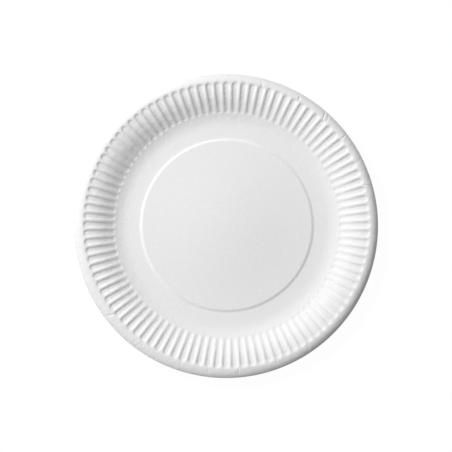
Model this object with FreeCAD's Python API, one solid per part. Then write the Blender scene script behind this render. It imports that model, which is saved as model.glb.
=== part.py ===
"""A round pressed-paper plate: flat floor, raised middle, fluted side and a rolled-down rim.

The plate is one sheet of board. Its section is drawn once, from the flat ring that it stands on out to
its cut edge, and the underside is that section set down by the board's thickness. One flute, which is a
groove beside a ridge, is folded from flat facets and repeated all the way round.
Lengths are in millimetres and angles in degrees. The origin is the middle of the plate where it meets
the table, and +Z is up.
"""

import math
import os

import FreeCAD
import Part

os.makedirs("parts", exist_ok=True)

# The whole plate
plate_diameter = 230.0
board_thickness = 0.4

# The raised middle, which bows up a little, and the flat ring around it, which the plate stands on
disc_rise = 1.0
disc_bow = 1.7
bow_top_share = 0.3
bow_knee_share = 0.7
bow_knee_height_share = 0.27
step_width = 2.3
standing_ring_width = 8.1

# The section of the side, from the standing ring outward
foot_bend_radius = 23.5
wall_angle = 35.0
wall_length = 6.5
shoulder_bend_radius = 30.4
shoulder_end_angle = 6.0
rim_bend_radius = 7.7
rim_angle = 56.0

# The flutes, with their widths and depth as measured where the shoulder ends
flute_count = 100
flute_start_angle = 26.0
flute_end_angle = 0.5
ridge_top_width = 0.7
groove_floor_width = 2.2
groove_depth = 1.2

# How many flat facets follow each bend of the section
foot_chords = 3
shoulder_chords = 3
rim_chords = 3


class Station:
    """A place on the section: how far out, how high, and how steeply the sheet climbs there.

    Where the section has a corner, the slope is the mean of its two sides and half_turn is how far each
    side is from it.
    """

    def __init__(self, radius, height, slope, half_turn=0.0):
        self.radius = radius
        self.height = height
        self.slope = slope
        self.half_turn = half_turn

    def after_line(self, length):
        run = length * math.cos(self.slope)
        climb = length * math.sin(self.slope)
        return Station(self.radius + run, self.height + climb, self.slope)

    def after_arc(self, bend_radius, slope):
        side = math.copysign(bend_radius, slope - self.slope)
        run = side * (math.sin(slope) - math.sin(self.slope))
        climb = side * (math.cos(self.slope) - math.cos(slope))
        return Station(self.radius + run, self.height + climb, slope)

    def moved(self, outward, upward):
        return Station(self.radius + outward, self.height + upward, self.slope, self.half_turn)

    def set_down(self, distance):
        reach = distance / math.cos(self.half_turn)
        return self.moved(reach * math.sin(self.slope), -reach * math.cos(self.slope))


def arc_stations(start, bend_radius, end_angle, chords):
    """The stations after start along an arc that ends at this slope, a chord apart."""
    turn = math.radians(end_angle) - start.slope
    slopes = [start.slope + turn * step / chords for step in range(1, chords + 1)]
    return [start.after_arc(bend_radius, slope) for slope in slopes]


class Section:
    """One line of the plate's section, in stretches that share their end stations.

    The middle, with its standing ring, and the foot are plain, the flank carries the flutes and the rim
    is plain again.
    """

    def __init__(self, middle, foot, flank, rim):
        self.middle = middle
        self.foot = foot
        self.flank = flank
        self.rim = rim

    def set_down(self, distance):
        stretches = (self.middle, self.foot, self.flank, self.rim)
        return Section(*[[station.set_down(distance) for station in stretch] for stretch in stretches])


def side_stretches():
    """The foot, the flank and the rim, placed so that their last station is at the plate's edge."""
    start = Station(0.0, board_thickness, 0.0)
    foot = [start] + arc_stations(start, foot_bend_radius, flute_start_angle, foot_chords)
    wall_start = foot[-1].after_arc(foot_bend_radius, math.radians(wall_angle))
    wall_end = wall_start.after_line(wall_length)
    shoulder = arc_stations(wall_end, shoulder_bend_radius, shoulder_end_angle, shoulder_chords)
    flute_end = shoulder[-1].after_arc(rim_bend_radius, -math.radians(flute_end_angle))
    flank = [foot[-1], wall_end] + shoulder + [flute_end]
    rim = [flute_end] + arc_stations(flute_end, rim_bend_radius, -rim_angle, rim_chords)
    outward = plate_diameter / 2 - rim[-1].radius
    return [[station.moved(outward, 0.0) for station in stretch] for stretch in (foot, flank, rim)]


def middle_stretch(foot_start):
    """The stations of the bowed disc, its step and the standing ring."""
    step_radius = foot_start.radius - standing_ring_width
    disc_radius = step_radius - step_width
    disc_height = foot_start.height + disc_rise
    corners = [
        (0.0, disc_height + disc_bow),
        (disc_radius * bow_top_share, disc_height + disc_bow),
        (disc_radius * bow_knee_share, disc_height + disc_bow * bow_knee_height_share),
        (disc_radius, disc_height),
        (step_radius, foot_start.height),
        (foot_start.radius, foot_start.height),
    ]
    stations = []
    for before, corner, after in zip(corners, corners[1:], corners[2:]):
        climb_before = slope_between(before, corner)
        climb_after = slope_between(corner, after)
        mean_slope = (climb_before + climb_after) / 2
        stations.append(Station(*corner, mean_slope, (climb_after - climb_before) / 2))
    return stations + [foot_start]


def slope_between(start, end):
    return math.atan2(end[1] - start[1], end[0] - start[0])


def upper_section():
    foot, flank, rim = side_stretches()
    return Section(middle_stretch(foot[0]), foot, flank, rim)


def point(radius, height, angle):
    return FreeCAD.Vector(radius * math.cos(angle), radius * math.sin(angle), height)


def facet(*corners):
    return Part.Face(Part.makePolygon(list(corners) + [corners[0]]))


class FluteSide:
    """One face of the board over the width of one flute, from the middle's flat top to the rim.

    The groove is centred on angle 0 and the ridge on half a pitch. Every facet is flat, because the
    groove's depth grows with the radius as its width does.
    """

    def __init__(self, section, corner_shift):
        self.section = section
        self.crown = section.flank[-2]
        self.pitch = 2 * math.pi / flute_count
        self.ridge_edge = self.pitch / 2 + (corner_shift - ridge_top_width / 2) / self.crown.radius
        self.floor_edge = (corner_shift + groove_floor_width / 2) / self.crown.radius

    def ring_point(self, station, angle):
        return point(station.radius, station.height, angle)

    def floor_height(self, radius, height):
        return height - groove_depth * radius / self.crown.radius

    def floor_point(self, station, angle):
        return point(station.radius, self.floor_height(station.radius, station.height), angle)

    def plain_facets(self, stretch):
        """The facets between plain rings, which have one corner at the middle of each ridge."""
        half = self.pitch / 2
        facets = []
        for inner, outer in zip(stretch, stretch[1:]):
            near = [self.ring_point(inner, angle) for angle in (-half, half)]
            far = [self.ring_point(outer, angle) for angle in (half, -half)]
            facets.append(facet(*near, *far))
        return facets

    def joining_facets(self, plain, fluted):
        """The facets between a plain ring and the ring where the flutes begin or end."""
        half = self.pitch / 2
        next_edge = self.pitch - self.ridge_edge
        mouth = [self.ring_point(fluted, angle) for angle in (self.ridge_edge, -self.ridge_edge)]
        ridge_end = [self.ring_point(fluted, angle) for angle in (self.ridge_edge, next_edge)]
        middle = [self.ring_point(plain, angle) for angle in (-half, half)]
        return [facet(*middle, *mouth), facet(middle[1], *ridge_end)]

    def ridge_facets(self):
        edges = (self.ridge_edge, self.pitch - self.ridge_edge)
        facets = []
        for inner, outer in zip(self.section.flank, self.section.flank[1:]):
            near = [self.ring_point(inner, angle) for angle in edges]
            far = [self.ring_point(outer, angle) for angle in reversed(edges)]
            facets.append(facet(*near, *far))
        return facets

    def head_facets(self):
        """The groove's first part, which deepens from nothing to its full depth."""
        start, following = self.section.flank[:2]
        mouth = [self.ring_point(start, angle) for angle in (-self.ridge_edge, self.ridge_edge)]
        floor = [self.floor_point(following, angle) for angle in (self.floor_edge, -self.floor_edge)]
        facets = [facet(*mouth, *floor)]
        for side in (1, -1):
            ridge = [self.ring_point(station, side * self.ridge_edge) for station in (start, following)]
            facets.append(facet(*ridge, self.floor_point(following, side * self.floor_edge)))
        return facets

    def groove_facets(self):
        """The groove's floor and side walls at their full depth."""
        full_depth = self.section.flank[1:-1]
        sides = (self.floor_edge, -self.floor_edge)
        facets = []
        for inner, outer in zip(full_depth, full_depth[1:]):
            near = [self.floor_point(inner, angle) for angle in sides]
            far = [self.floor_point(outer, angle) for angle in reversed(sides)]
            facets.append(facet(*near, *far))
            for side in (1, -1):
                ridge = [self.ring_point(station, side * self.ridge_edge) for station in (inner, outer)]
                floor = [self.floor_point(station, side * self.floor_edge) for station in (outer, inner)]
                facets.append(facet(*ridge, *floor))
        return facets

    def tail_facets(self):
        """The slope that closes the groove at the rim, with a corner on each side of it."""
        crown, end = self.section.flank[-2:]
        mouth = [self.ring_point(end, angle) for angle in (-self.ridge_edge, self.ridge_edge)]
        floor = [self.floor_point(crown, angle) for angle in (self.floor_edge, -self.floor_edge)]
        facets = [facet(*mouth, *floor)]
        for side in (1, -1):
            ridge = [self.ring_point(station, side * self.ridge_edge) for station in (crown, end)]
            facets.append(facet(*ridge, self.floor_point(crown, side * self.floor_edge)))
        return facets

    def facets(self):
        foot, rim = self.section.foot, self.section.rim
        inside = self.plain_facets(self.section.middle) + self.plain_facets(foot[:-1])
        plain = inside + self.plain_facets(rim[1:])
        joining = self.joining_facets(foot[-2], foot[-1]) + self.joining_facets(rim[1], rim[0])
        groove = self.head_facets() + self.groove_facets() + self.tail_facets()
        return plain + joining + self.ridge_facets() + groove


def cut_edge_facet(upper, lower):
    """The band of cut board at the rim over the width of one flute."""
    half = math.pi / flute_count
    top_edge = [point(upper.radius, upper.height, angle) for angle in (-half, half)]
    low_edge = [point(lower.radius, lower.height, angle) for angle in (half, -half)]
    return facet(*top_edge, *low_edge)


def flat_top(station):
    """The flat top of the middle, with one corner at the middle of each ridge."""
    angles = [2 * math.pi * (index + 0.5) / flute_count for index in range(flute_count)]
    return facet(*[point(station.radius, station.height, angle) for angle in angles])


def repeated_round(faces):
    copies = []
    for index in range(flute_count):
        turned = Part.makeCompound(faces)
        turned.rotate(FreeCAD.Vector(0, 0, 0), FreeCAD.Vector(0, 0, 1), 360.0 * index / flute_count)
        copies.extend(turned.Faces)
    return copies


def make_plate():
    upper = upper_section()
    lower = upper.set_down(board_thickness)
    crown_radius = upper.flank[-2].radius
    flute_pitch = 2 * math.pi * crown_radius / flute_count
    wall_width = (flute_pitch - ridge_top_width - groove_floor_width) / 2
    flute_wall_lean = math.atan2(groove_depth, wall_width)
    flute_corner_shift = board_thickness * math.tan(flute_wall_lean / 2)

    one_flute = FluteSide(upper, 0.0).facets() + FluteSide(lower, flute_corner_shift).facets()
    one_flute.append(cut_edge_facet(upper.rim[-1], lower.rim[-1]))
    flat_tops = [flat_top(section.middle[0]) for section in (upper, lower)]

    skin = Part.makeCompound(flat_tops + repeated_round(one_flute))
    skin.sewShape()
    plate = Part.makeSolid(skin.Shells[0])
    if plate.Volume < 0:
        plate.reverse()
    return plate


paper_plate = make_plate()
paper_plate.exportStep("parts/paper_plate.step")
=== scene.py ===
"""A white pressed-paper plate: raised middle, fluted side, rolled-down rim, on a pale floor.

The plate is one sheet of board. Its section is spun into a skin, the flutes and the small rim creases are
pressed into that skin, and the skin is then given the board's thickness. Lengths are in metres.
"""

import math

import bmesh
import bpy
from mathutils import Matrix, Vector


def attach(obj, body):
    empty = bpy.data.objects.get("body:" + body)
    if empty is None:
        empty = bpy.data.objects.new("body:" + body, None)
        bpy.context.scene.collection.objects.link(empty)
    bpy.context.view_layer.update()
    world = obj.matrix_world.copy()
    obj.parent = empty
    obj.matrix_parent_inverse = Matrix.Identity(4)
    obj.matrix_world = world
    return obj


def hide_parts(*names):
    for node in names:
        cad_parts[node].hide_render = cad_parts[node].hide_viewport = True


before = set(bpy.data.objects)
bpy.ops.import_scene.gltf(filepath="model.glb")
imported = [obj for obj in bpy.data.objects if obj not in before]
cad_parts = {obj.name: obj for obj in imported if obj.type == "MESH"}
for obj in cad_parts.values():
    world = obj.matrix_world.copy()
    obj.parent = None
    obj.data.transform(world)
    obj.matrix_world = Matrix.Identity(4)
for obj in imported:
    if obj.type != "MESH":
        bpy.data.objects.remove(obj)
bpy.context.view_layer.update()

bl_info = {
    "name": "Pressed Paper Plate",
    "version": (1, 0, 0),
    "blender": (4, 5, 0),
    "location": "View3D > Sidebar > Paper Plate",
    "description": "Builds a fluted white paper plate, its board material, and a small studio around it",
    "category": "Object",
}

MM = 0.001
WHITE = (1.0, 1.0, 1.0, 1.0)

# The photograph's width, and where it shows the plate: the cut edge's radius, the plate's middle off the
# frame's middle, and the height on the plate that the camera aims at
PHOTO_PIXELS = 452
PHOTO_EDGE_PIXELS = 152.02
AIM_RIGHT_PIXELS = 0.28
AIM_UP_PIXELS = -0.29
AIM_HEIGHT = 11.0 * MM
SENSOR_WIDTH_MM = 36.0

# The mesh: columns round the plate and rows across each stretch of the section
FLUTE_COLUMNS = 12
MIDDLE_COLUMNS = 240
FOOT_ROWS = 3
FLUTE_HEAD_ROWS = 6
WALL_ROWS = 2
SHOULDER_ROWS = 6
FLUTE_TAIL_ROWS = 5
CROWN_ROWS = 4
RIM_ROWS = 6
DISC_ROWS = 12
STEP_ROWS = 8

# How near two points of a seam are before they become one, how near an edge is to a circle that it counts
# as part of, and the corner from which an edge is shaded as a sharp one
SEAM_REACH = 0.001 * MM
RING_REACH = 0.01 * MM
SHARP_CORNER = math.radians(50.0)

# What a place is multiplied by to give it a number of its own, by which the mesh is sorted
ORDER_WEIGHTS = (math.sqrt(2.0), math.sqrt(3.0), math.sqrt(5.0))

# Where a flute's columns stand, in pitches from the middle of its ridge
COLUMN_PLACES = (0.0, 0.06, 0.13, 0.21, 0.29, 0.39, 0.5, 0.61, 0.71, 0.79, 0.87, 0.94)

# The small creases across the rim: azimuths at the edge and at the crown in degrees, depth as a share of
# the deepest, and how far across the rim from the crown each one reaches
CREASES = (
    (14.9, 16.1, 1.0, 0.9),
    (26.8, 25.2, 0.6, 0.9),
    (28.2, 26.0, 0.4, 0.7),
    (37.3, 36.8, 0.9, 0.8),
    (47.4, 45.9, 0.8, 1.0),
    (49.2, 47.9, 1.0, 1.0),
    (60.5, 60.0, 1.0, 0.7),
    (77.0, 75.6, 1.0, 0.7),
    (86.8, 85.6, 0.6, 0.5),
    (88.6, 86.6, 0.5, 0.4),
    (99.0, 97.0, 0.7, 0.4),
    (216.8, 218.6, 0.9, 0.9),
    (233.0, 234.6, 0.5, 0.9),
    (236.0, 235.2, 0.5, 0.6),
    (252.9, 251.7, 0.7, 0.7),
    (264.2, 262.8, 0.5, 0.8),
    (275.3, 275.1, 0.5, 0.8),
    (291.0, 290.4, 0.7, 0.6),
    (303.6, 304.3, 0.6, 0.8),
    (320.2, 320.9, 0.6, 0.8),
)

# How far short of the crown a crease begins and over how much it fades at its end, as shares of the rim
CREASE_START = 0.25
CREASE_END = 0.4

# How far from the middle the waves in the board begin, and where they have their full depth
WAVES_FROM = 70.0 * MM
WAVES_FULL = 88.0 * MM


def length(name, description, default):
    return bpy.props.FloatProperty(
        name=name,
        description=description,
        default=default,
        unit="LENGTH",
        subtype="DISTANCE",
        precision=5,
    )


def angle(name, description, degrees):
    return bpy.props.FloatProperty(
        name=name,
        description=description,
        default=math.radians(degrees),
        unit="ROTATION",
        subtype="ANGLE",
    )


def fraction(name, description, default):
    return bpy.props.FloatProperty(
        name=name,
        description=description,
        default=default,
        min=0.0,
        max=1.0,
        subtype="FACTOR",
    )


def strength(name, description, default):
    return bpy.props.FloatProperty(name=name, description=description, default=default, min=0.0)


def colour(name, description, default):
    return bpy.props.FloatVectorProperty(
        name=name,
        description=description,
        default=default,
        size=3,
        min=0.0,
        max=1.0,
        subtype="COLOR",
    )


class PlateSizes(bpy.types.PropertyGroup):
    """The plate's shape."""

    edge_radius: length("Edge Radius", "From the middle to the cut edge", 115.0 * MM)
    board: length("Board", "Thickness of the board", 0.4 * MM)
    disc_rise: length("Disc Rise", "How far the middle stands above the ring around it", 0.95 * MM)
    disc_dome: length("Disc Dome", "How far the middle bows up from its own edge", 2.1 * MM)
    step_width: length("Step Width", "Width of the sloping step around the middle", 2.3 * MM)
    standing_ring: length("Standing Ring", "Width of the flat ring the plate stands on", 8.1 * MM)
    foot_bend: length("Foot Bend", "Radius of the bend at the foot of the side", 23.5 * MM)
    wall_angle: angle("Wall Angle", "Slope of the steepest part of the side", 35.0)
    wall_length: length("Wall Length", "Length of the straight part of the side", 6.0 * MM)
    shoulder_bend: length("Shoulder Bend", "Radius of the bend up to the rim", 32.0 * MM)
    shoulder_end: angle("Shoulder End", "Slope that is left where the shoulder meets the rim", 6.0)
    rim_bend: length("Rim Bend", "Radius of the rolled-down rim", 7.7 * MM)
    rim_angle: angle("Rim Angle", "Slope of the rim at its cut edge", 52.0)
    flutes: bpy.props.IntProperty(name="Flutes", description="Grooves round the side", default=100, min=3)
    flute_head_angle: angle("Flute Head", "Slope of the foot where the grooves begin", 26.0)
    flute_tail_angle: angle("Flute Tail", "Slope of the rim where the grooves end", -0.4)
    ridge_top: length("Ridge Top", "Width of a ridge's top at the crown", 0.4 * MM)
    groove_floor: length("Groove Floor", "Width of a groove's floor at the crown", 2.6 * MM)
    groove_depth: length("Groove Depth", "Depth of a groove at the crown", 1.2 * MM)
    mouth_taper: fraction("Mouth Taper", "How much a groove is narrowed at its head", 0.14)
    floor_taper: fraction("Floor Taper", "How much a groove's floor is narrowed at its head", 0.5)
    tail_cap: length("Tail Cap", "Length of a groove's rounded end at the rim", 3.2 * MM)
    head_wall: length("Head Wall", "Width of the slope that opens a groove at its head", 1.8 * MM)
    head_depth: fraction("Head Depth", "Share of its depth that a groove has past that slope", 0.5)
    head_slope: length("Head Slope", "Length over which a groove deepens from its head", 20.0 * MM)
    crease_depth: length("Crease Depth", "Depth of the deepest crease across the rim", 0.85 * MM)
    crease_width: length("Crease Width", "Width of a crease across the rim", 1.3 * MM)
    rim_twist: length("Rim Twist", "How far the cut edge springs up and down", 0.5 * MM)
    trim_offset: length("Trim Offset", "From the middle of the cut edge to the pressing's", 0.89 * MM)
    trim_azimuth: angle("Trim Azimuth", "Direction of that offset, from +X towards +Y", 54.4)
    press_turn: angle("Press Turn", "How far the pressing is turned, from +X towards +Y", -0.084)


class BoardLook(bpy.types.PropertyGroup):
    """The white board."""

    light_tone: colour("Light Tone", "The board's usual white", (0.905, 0.905, 0.905))
    dark_tone: colour("Dark Tone", "White of the board's slightly greyer clouds", (0.885, 0.885, 0.885))
    cloud_size: length("Cloud Size", "Size of the clouds in the board", 4.0 * MM)
    grain_size: length("Grain Size", "Size of the paper's grain", 1.8 * MM)
    grain_depth: length("Grain Depth", "Depth of the paper's grain", 0.26 * MM)
    wave_size: length("Wave Size", "Size of the small waves in the pressed side", 5.0 * MM)
    wave_depth: length("Wave Depth", "Depth of those waves", 0.42 * MM)
    roughness: fraction("Roughness", "Roughness of the board", 0.9)
    shine: fraction("Shine", "Strength of the board's faint shine", 0.25)


class StudioLook(bpy.types.PropertyGroup):
    """The floor, the even light, the key lamp and the camera."""

    floor_colour: colour("Floor", "Colour of the floor as the plate meets it", (0.35, 0.35, 0.35))
    floor_in_view: colour("Floor In View", "Colour of the floor in view", (0.035, 0.035, 0.035))
    floor_glow: strength("Floor Glow", "White added to the floor in view", 0.975)
    sky_strength: strength("Sky", "Strength of the even light", 0.272)
    key_power: bpy.props.FloatProperty(
        name="Key Power",
        description="Power of the key lamp",
        default=17.9,
        unit="POWER",
    )
    key_azimuth: angle("Key Azimuth", "Direction of the key lamp, from +X towards +Y", 143.8)
    key_elevation: angle("Key Elevation", "Height of the key lamp above the table", 44.0)
    key_distance: length("Key Distance", "From the plate to the key lamp", 1.45)
    key_size: length("Key Size", "Width of the key lamp", 0.3)
    camera_distance: length("Camera Distance", "From the plate to the camera", 1.3)
    camera_azimuth: angle("Camera Azimuth", "Side of the plate that the camera leans towards", 314.0)
    camera_elevation: angle("Camera Elevation", "Height of the camera above the table", 87.5)


class Station:
    """A place on the section: how far out, how high, and how steeply the board climbs there."""

    def __init__(self, radius, height, slope):
        self.radius = radius
        self.height = height
        self.slope = slope

    def along_line(self, distance, rows):
        """The stations along a straight, a row apart."""
        run = distance * math.cos(self.slope)
        climb = distance * math.sin(self.slope)
        stations = []
        for row in range(1, rows + 1):
            share = row / rows
            stations.append(Station(self.radius + run * share, self.height + climb * share, self.slope))
        return stations

    def along_arc(self, bend, end_slope, rows):
        """The stations along a bend that ends at this slope, a row apart."""
        side = math.copysign(bend, end_slope - self.slope)
        stations = []
        for row in range(1, rows + 1):
            slope = self.slope + (end_slope - self.slope) * row / rows
            run = side * (math.sin(slope) - math.sin(self.slope))
            climb = side * (math.cos(self.slope) - math.cos(slope))
            stations.append(Station(self.radius + run, self.height + climb, slope))
        return stations


def ease(share):
    """A smooth climb from 0 to 1."""
    held = min(max(share, 0.0), 1.0)
    return held * held * (3.0 - 2.0 * held)


class PlateSection:
    """The upper line of the plate's section, with rows set close together at the flutes' ends."""

    # The slopes between which the rows stand close together, at a groove's head and at its tail
    HEAD_FROM = math.radians(25.0)
    HEAD_TO = math.radians(32.5)
    TAIL_FROM = math.radians(13.0)
    TAIL_TO = math.radians(-9.0)

    # How far off the step the first flat row stands on each side of it
    STEP_BORDER = 0.25 * MM

    def __init__(self, sizes):
        self.sizes = sizes
        start = Station(0.0, sizes.board, 0.0)
        side = [start]
        side += side[-1].along_arc(sizes.foot_bend, self.HEAD_FROM, FOOT_ROWS)
        side += side[-1].along_arc(sizes.foot_bend, self.HEAD_TO, FLUTE_HEAD_ROWS)
        side += side[-1].along_arc(sizes.foot_bend, sizes.wall_angle, 1)
        side += side[-1].along_line(sizes.wall_length, WALL_ROWS)
        side += side[-1].along_arc(sizes.shoulder_bend, self.TAIL_FROM, SHOULDER_ROWS)
        side += side[-1].along_arc(sizes.shoulder_bend, sizes.shoulder_end, FLUTE_TAIL_ROWS)
        rim_start = side[-1]
        side += rim_start.along_arc(sizes.rim_bend, self.TAIL_TO, CROWN_ROWS)
        side += side[-1].along_arc(sizes.rim_bend, -sizes.rim_angle, RIM_ROWS)
        outward = sizes.edge_radius - side[-1].radius
        for station in side:
            station.radius += outward
        self.side = side
        self.crown_radius = rim_start.radius + sizes.rim_bend * math.sin(sizes.shoulder_end)
        self.head_radius = side[0].radius + sizes.foot_bend * math.sin(sizes.flute_head_angle)
        self.tail_radius = self.crown_radius + sizes.rim_bend * math.sin(sizes.flute_tail_angle)
        self.step_radius = side[0].radius - sizes.standing_ring

    def past_crown(self, vert):
        """How far across the rim this point lies: 0 at the crown and 1 at the cut edge."""
        rim_width = self.sizes.edge_radius - self.crown_radius
        return (math.hypot(vert.co.x, vert.co.y) - self.crown_radius) / rim_width

    def middle(self):
        """The stations of the raised middle and its softly rounded step, from the inside out."""
        sizes = self.sizes
        disc_radius = self.step_radius - sizes.step_width
        top = sizes.board + sizes.disc_rise
        stations = []
        for row in range(DISC_ROWS):
            share = row / DISC_ROWS
            bow = sizes.disc_dome * (1.0 + math.cos(math.pi * share)) / 2
            stations.append(Station(disc_radius * share, top + bow, 0.0))
        stations.append(Station(disc_radius - self.STEP_BORDER, top, 0.0))
        for row in range(STEP_ROWS + 1):
            share = row / STEP_ROWS
            fall = sizes.disc_rise * (ease(share) + share) / 2
            stations.append(Station(disc_radius + sizes.step_width * share, top - fall, 0.0))
        stations.append(Station(self.step_radius + self.STEP_BORDER, sizes.board, 0.0))
        return stations


def place_number(element):
    """The number of a point's place, or the sum of those of an edge's or a face's points."""
    points = [element] if isinstance(element, bmesh.types.BMVert) else element.verts
    return math.fsum(weight * part for vert in points for weight, part in zip(ORDER_WEIGHTS, vert.co))


def set_in_order(skin):
    """Sort the skin's elements by place, as spin and solidify leave them in another order on each run."""
    for elements in (skin.verts, skin.edges, skin.faces):
        elements.sort(key=place_number)
        elements.index_update()


def spin_stations(skin, stations, turn, columns):
    """Spin a line of stations through this turn, and all the way round if it is a full one."""
    points = [skin.verts.new((station.radius, 0.0, station.height)) for station in stations]
    lines = [skin.edges.new(pair) for pair in zip(points, points[1:])]
    bmesh.ops.spin(
        skin,
        geom=points + lines,
        cent=(0.0, 0.0, 0.0),
        axis=(0.0, 0.0, 1.0),
        dvec=(0.0, 0.0, 0.0),
        angle=turn,
        steps=columns,
        use_merge=turn == math.tau,
        use_duplicate=False,
    )
    set_in_order(skin)


def repeat_round(skin, faces, copies):
    """Copy these faces round the plate's axis until there are so many of them."""
    for index in range(1, copies):
        copied = bmesh.ops.duplicate(skin, geom=faces)
        points = [element for element in copied["geom"] if isinstance(element, bmesh.types.BMVert)]
        turn = Matrix.Rotation(math.tau * index / copies, 3, "Z")
        bmesh.ops.rotate(skin, verts=points, cent=(0.0, 0.0, 0.0), matrix=turn)


def ring_edges(skin, radius):
    """The open edges that lie on this circle."""
    return [
        edge
        for edge in skin.edges
        if edge.is_boundary and all(abs(vert.co.xy.length - radius) < RING_REACH for vert in edge.verts)
    ]


class FlutePress:
    """The tool that presses one groove: where its columns stand and how far each point goes down.

    Its azimuths run from the middle of a ridge to the middle of the next one. The groove between them
    is then set on the +X axis.
    """

    def __init__(self, section):
        sizes = section.sizes
        self.section = section
        self.pitch = math.tau / sizes.flutes
        self.mouth_angle = self.pitch / 2 - sizes.ridge_top / 2 / section.crown_radius
        self.floor_angle = sizes.groove_floor / 2 / section.crown_radius

    def placed_azimuth(self, azimuth):
        """Where the column at this azimuth stands, so that the columns crowd together on the walls."""
        flute, column = divmod(round(azimuth / self.pitch * FLUTE_COLUMNS), FLUTE_COLUMNS)
        return (flute + COLUMN_PLACES[column]) * self.pitch

    def depth_share(self, radius, azimuth):
        """How much of its depth the groove has here: none on a ridge, all of it on a groove's floor.

        Past the start of the groove's rounded tail, the way along it counts as way across it.
        """
        section = self.section
        sizes = section.sizes
        past_head = radius - section.head_radius
        short_of_crown = (section.crown_radius - radius) / (section.crown_radius - section.head_radius)
        short_of_crown = max(short_of_crown, 0.0)
        mouth = self.mouth_angle * (1.0 - sizes.mouth_taper * short_of_crown)
        floor = self.floor_angle * (1.0 - sizes.floor_taper * short_of_crown)
        past_tail = max(1.0 - (section.tail_radius - radius) / sizes.tail_cap, 0.0)
        off_middle = math.hypot(azimuth - self.pitch / 2, past_tail * self.mouth_angle)
        across = 1.0 - (mouth - off_middle) / (mouth - floor)
        head = 1.0 - past_head / sizes.head_wall
        outside = math.hypot(max(across, 0.0), max(head, 0.0)) + min(max(across, head), 0.0)
        down_slope = min(max(past_head / sizes.head_slope, 0.0), 1.0)
        deepened = sizes.head_depth + (1.0 - sizes.head_depth) * down_slope * (2.0 - down_slope)
        return ease(1.0 - outside) * deepened

    def press(self, vert):
        """Set this point in its column and press it down by the groove's depth there."""
        radius = math.hypot(vert.co.x, vert.co.y)
        azimuth = self.placed_azimuth(math.atan2(vert.co.y, vert.co.x))
        depth = self.section.sizes.groove_depth * radius / self.section.crown_radius
        vert.co.x = radius * math.cos(azimuth - self.pitch / 2)
        vert.co.y = radius * math.sin(azimuth - self.pitch / 2)
        vert.co.z -= depth * self.depth_share(radius, azimuth)


def crease_rim(skin, section):
    """Dent the rim along a few short lines, each like a fold, from the crown to the cut edge."""
    sizes = section.sizes
    rim = [vert for vert in skin.verts if section.past_crown(vert) > -CREASE_START]
    for edge_azimuth, crown_azimuth, depth_share, reach in CREASES:
        for vert in rim:
            past_crown = section.past_crown(vert)
            line = math.radians(crown_azimuth + (edge_azimuth - crown_azimuth) * past_crown)
            off = (math.atan2(vert.co.y, vert.co.x) - line + math.pi) % math.tau - math.pi
            near = 1.0 - abs(off) * math.hypot(vert.co.x, vert.co.y) / (sizes.crease_width / 2)
            if near > 0.0:
                begun = ease(1.0 + past_crown / CREASE_START)
                fade = begun * ease((reach - past_crown) / CREASE_END)
                vert.co.z -= sizes.crease_depth * depth_share * near * fade


def twist_rim(skin, section):
    """Lift the rim a little on two sides and lower it on the two between, as pressed board springs."""
    sizes = section.sizes
    for vert in skin.verts:
        past_crown = section.past_crown(vert)
        if past_crown > 0.0:
            off = math.atan2(vert.co.y, vert.co.x) - sizes.trim_azimuth
            vert.co.z += sizes.rim_twist * math.cos(2 * off) * past_crown * past_crown


def shift_off_trim(skin, section):
    """Set the pressing off the middle of the cut edge, which stays where it is."""
    sizes = section.sizes
    off = Vector((math.cos(sizes.trim_azimuth), math.sin(sizes.trim_azimuth), 0.0)) * sizes.trim_offset
    for vert in skin.verts:
        vert.co += off * (1.0 - ease(section.past_crown(vert)))


def plate_mesh(sizes):
    """The plate's skin from its middle to its cut edge, with the board's thickness below it."""
    section = PlateSection(sizes)
    press = FlutePress(section)
    skin = bmesh.new()
    spin_stations(skin, section.side, press.pitch, FLUTE_COLUMNS)
    for vert in skin.verts:
        press.press(vert)
    repeat_round(skin, skin.faces[:], sizes.flutes)
    middle = section.middle()
    spin_stations(skin, middle, math.tau, MIDDLE_COLUMNS)
    bmesh.ops.remove_doubles(skin, verts=skin.verts, dist=SEAM_REACH)
    inner = ring_edges(skin, middle[-1].radius)
    outer = ring_edges(skin, section.side[0].radius)
    bmesh.ops.bridge_loops(skin, edges=inner + outer)
    crease_rim(skin, section)
    twist_rim(skin, section)
    turned = Matrix.Rotation(sizes.press_turn, 3, "Z")
    bmesh.ops.rotate(skin, verts=skin.verts, cent=(0.0, 0.0, 0.0), matrix=turned)
    shift_off_trim(skin, section)
    bmesh.ops.recalc_face_normals(skin, faces=skin.faces)
    if sum(face.normal.z * face.calc_area() for face in skin.faces) < 0:
        bmesh.ops.reverse_faces(skin, faces=skin.faces)
    bmesh.ops.solidify(skin, geom=skin.faces, thickness=sizes.board)
    set_in_order(skin)
    for face in skin.faces:
        face.smooth = True
    for edge in skin.edges:
        if edge.is_manifold and edge.calc_face_angle() > SHARP_CORNER:
            edge.smooth = False
    mesh = bpy.data.meshes.new("pressed_plate")
    skin.to_mesh(mesh)
    skin.free()
    return mesh


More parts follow.
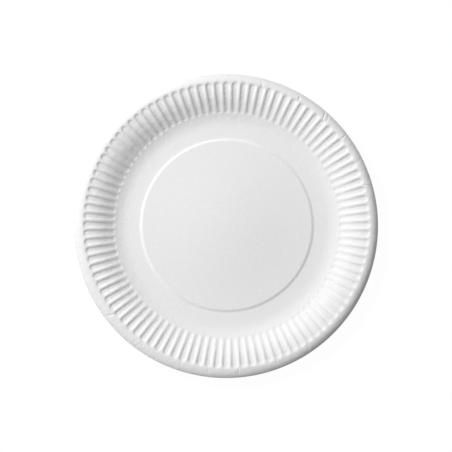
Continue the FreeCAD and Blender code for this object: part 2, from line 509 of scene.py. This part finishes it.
class NodeBuilder:
    """A short way to add nodes to a material and join them."""

    def __init__(self, name):
        self.material = bpy.data.materials.new(name)
        self.material.use_nodes = True
        self.tree = self.material.node_tree
        self.tree.nodes.clear()
        self.output = self.tree.nodes.new("ShaderNodeOutputMaterial")

    def node(self, kind, **inputs):
        """A new node with these values in its sockets, whose names have spaces for underscores."""
        made = self.tree.nodes.new(kind)
        for socket, value in inputs.items():
            made.inputs[socket.replace("_", " ")].default_value = value
        return made

    def join(self, source, target):
        self.tree.links.new(source, target)

    def calculation(self, kind, operation, *sources):
        """A node that works out one value from these sockets or plain values."""
        made = self.node(kind)
        made.operation = operation
        for socket, source in zip(made.inputs, sources):
            if isinstance(source, bpy.types.NodeSocket):
                self.join(source, socket)
            else:
                socket.default_value = source
        return made

    def noise(self, place, size, detail, roughness):
        """The value at each place of a noise whose grains have this size."""
        made = self.node("ShaderNodeTexNoise", Scale=1.0 / size, Detail=detail, Roughness=roughness)
        self.join(place, made.inputs["Vector"])
        return made.outputs["Fac"]

    def bump(self, height, depth):
        """A bump node that raises the surface by this depth where the height is 1."""
        made = self.node("ShaderNodeBump", Strength=1.0, Distance=depth)
        self.join(height, made.inputs["Height"])
        return made


def pressed_waves(builder, look, place):
    """The bump of the small waves, which are in the side and not in the plate's middle."""
    without_height = (1.0, 1.0, 0.0)
    flat_place = builder.calculation("ShaderNodeVectorMath", "MULTIPLY", place, without_height)
    radius = builder.calculation("ShaderNodeVectorMath", "LENGTH", flat_place.outputs["Vector"])
    on_side = builder.node("ShaderNodeMapRange", From_Min=WAVES_FROM, From_Max=WAVES_FULL)
    builder.join(radius.outputs["Value"], on_side.inputs["Value"])
    waves = builder.noise(place, look.wave_size, detail=2.0, roughness=0.5)
    height = builder.calculation("ShaderNodeMath", "MULTIPLY", on_side.outputs["Result"], waves)
    return builder.bump(height.outputs["Value"], look.wave_depth)


def white_board_material(look):
    """Matte white board with faint clouds, small waves in its side and a fine paper grain."""
    builder = NodeBuilder("white board")
    place = builder.node("ShaderNodeTexCoord").outputs["Object"]
    tones = builder.node("ShaderNodeValToRGB")
    for end, tone in zip(tones.color_ramp.elements, (look.dark_tone, look.light_tone)):
        end.color = (*tone, 1.0)
    builder.join(builder.noise(place, look.cloud_size, detail=3.0, roughness=0.6), tones.inputs["Fac"])
    grain = builder.noise(place, look.grain_size, detail=4.0, roughness=0.65)
    surface = builder.bump(grain, look.grain_depth)
    builder.join(pressed_waves(builder, look, place).outputs["Normal"], surface.inputs["Normal"])
    board = builder.node("ShaderNodeBsdfPrincipled", Roughness=look.roughness, Specular_IOR_Level=look.shine)
    builder.join(tones.outputs["Color"], board.inputs["Base Color"])
    builder.join(surface.outputs["Normal"], board.inputs["Normal"])
    builder.join(board.outputs["BSDF"], builder.output.inputs["Surface"])
    return builder.material


def floor_material(look):
    """A pale floor that the camera sees as white, and that keeps the plate's shadow."""
    builder = NodeBuilder("pale floor")
    met = builder.node("ShaderNodeBsdfDiffuse", Color=(*look.floor_colour, 1.0))
    viewed = builder.node("ShaderNodeBsdfDiffuse", Color=(*look.floor_in_view, 1.0))
    glow = builder.node("ShaderNodeEmission", Color=WHITE, Strength=look.floor_glow)
    rays = builder.node("ShaderNodeLightPath").outputs
    seen = builder.calculation("ShaderNodeMath", "MAXIMUM", rays["Is Camera Ray"], rays["Is Glossy Ray"])
    lit = builder.node("ShaderNodeAddShader")
    either = builder.node("ShaderNodeMixShader")
    builder.join(viewed.outputs[0], lit.inputs[0])
    builder.join(glow.outputs[0], lit.inputs[1])
    builder.join(seen.outputs[0], either.inputs[0])
    builder.join(met.outputs[0], either.inputs[1])
    builder.join(lit.outputs[0], either.inputs[2])
    builder.join(either.outputs[0], builder.output.inputs["Surface"])
    return builder.material


def direction(azimuth, elevation):
    """The unit vector that points this way."""
    across = math.cos(elevation)
    return Vector((across * math.cos(azimuth), across * math.sin(azimuth), math.sin(elevation)))


def add_object(name, data):
    """Link a new object with this data to the scene."""
    made = bpy.data.objects.new(name, data)
    bpy.context.scene.collection.objects.link(made)
    return made


class PAPERPLATE_OT_plate(bpy.types.Operator):
    """Build the plate from one spun, pressed and thickened sheet of board"""

    bl_idname = "paperplate.plate"
    bl_label = "Paper Plate"

    def execute(self, context):
        plate = add_object("pressed_plate", plate_mesh(context.scene.plate_sizes))
        plate.data.materials.append(white_board_material(context.scene.board_look))
        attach(plate, "root")
        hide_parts("paper_plate")
        return {"FINISHED"}


class PAPERPLATE_OT_studio(bpy.types.Operator):
    """Build the floor, the even light, the key lamp and the camera"""

    bl_idname = "paperplate.studio"
    bl_label = "Studio"

    # The floor's width, and how far below the plate it lies
    FLOOR_SIZE = 6.0
    FLOOR_CLEARANCE = 0.05 * MM

    def execute(self, context):
        look = context.scene.studio_look
        self.add_floor(look)
        self.add_sky(context, look)
        self.add_key_lamp(look)
        self.add_camera(context, look)
        context.scene.view_settings.view_transform = "Standard"
        return {"FINISHED"}

    def add_floor(self, look):
        sheet = bmesh.new()
        sunk = Matrix.Translation((0.0, 0.0, -self.FLOOR_CLEARANCE))
        bmesh.ops.create_grid(sheet, x_segments=1, y_segments=1, size=self.FLOOR_SIZE / 2, matrix=sunk)
        mesh = bpy.data.meshes.new("floor")
        sheet.to_mesh(mesh)
        sheet.free()
        mesh.materials.append(floor_material(look))
        add_object("floor", mesh)

    def add_sky(self, context, look):
        sky = bpy.data.worlds.new("even sky")
        sky.use_nodes = True
        background = sky.node_tree.nodes["Background"]
        background.inputs["Color"].default_value = WHITE
        background.inputs["Strength"].default_value = look.sky_strength
        context.scene.world = sky

    def add_key_lamp(self, look):
        lamp = bpy.data.lights.new("key lamp", "AREA")
        lamp.shape = "DISK"
        lamp.size = look.key_size
        lamp.energy = look.key_power
        towards = direction(look.key_azimuth, look.key_elevation)
        placed = add_object("key lamp", lamp)
        placed.location = towards * look.key_distance
        placed.rotation_euler = towards.to_track_quat("Z", "Y").to_euler()

    def add_camera(self, context, look):
        """Set the camera so that it sees the plate as the photograph does, with +X to the right."""
        lens = bpy.data.cameras.new("camera")
        camera = add_object("camera", lens)
        scale = PHOTO_EDGE_PIXELS / context.scene.plate_sizes.edge_radius
        lens.sensor_width = SENSOR_WIDTH_MM
        lens.lens = scale * look.camera_distance * SENSOR_WIDTH_MM / PHOTO_PIXELS
        aim = Vector((AIM_RIGHT_PIXELS / scale, AIM_UP_PIXELS / scale, AIM_HEIGHT))
        towards = direction(look.camera_azimuth, look.camera_elevation)
        side = Vector((1.0, 0.0, 0.0))
        up = towards.cross(side).normalized()
        side = up.cross(towards)
        turned = Matrix((side, up, towards)).transposed()
        camera.matrix_world = Matrix.Translation(aim + towards * look.camera_distance) @ turned.to_4x4()
        context.scene.camera = camera


class PAPERPLATE_PT_panel(bpy.types.Panel):
    """The plate's and the studio's operators"""

    bl_idname = "PAPERPLATE_PT_panel"
    bl_label = "Paper Plate"
    bl_space_type = "VIEW_3D"
    bl_region_type = "UI"
    bl_category = "Paper Plate"

    def draw(self, context):
        for step in STEPS:
            self.layout.operator(step.bl_idname)
        for settings in (context.scene.plate_sizes, context.scene.board_look, context.scene.studio_look):
            box = self.layout.box()
            for name in settings.__annotations__:
                box.prop(settings, name)


SETTINGS = {"plate_sizes": PlateSizes, "board_look": BoardLook, "studio_look": StudioLook}
STEPS = (PAPERPLATE_OT_plate, PAPERPLATE_OT_studio)
CLASSES = (*SETTINGS.values(), *STEPS, PAPERPLATE_PT_panel)


def register():
    for each in CLASSES:
        bpy.utils.register_class(each)
    for name, settings in SETTINGS.items():
        setattr(bpy.types.Scene, name, bpy.props.PointerProperty(type=settings))


def unregister():
    for name in SETTINGS:
        delattr(bpy.types.Scene, name)
    for each in reversed(CLASSES):
        bpy.utils.unregister_class(each)


def main():
    register()
    bpy.ops.paperplate.plate()
    bpy.ops.paperplate.studio()


if __name__ == "__main__":
    main()
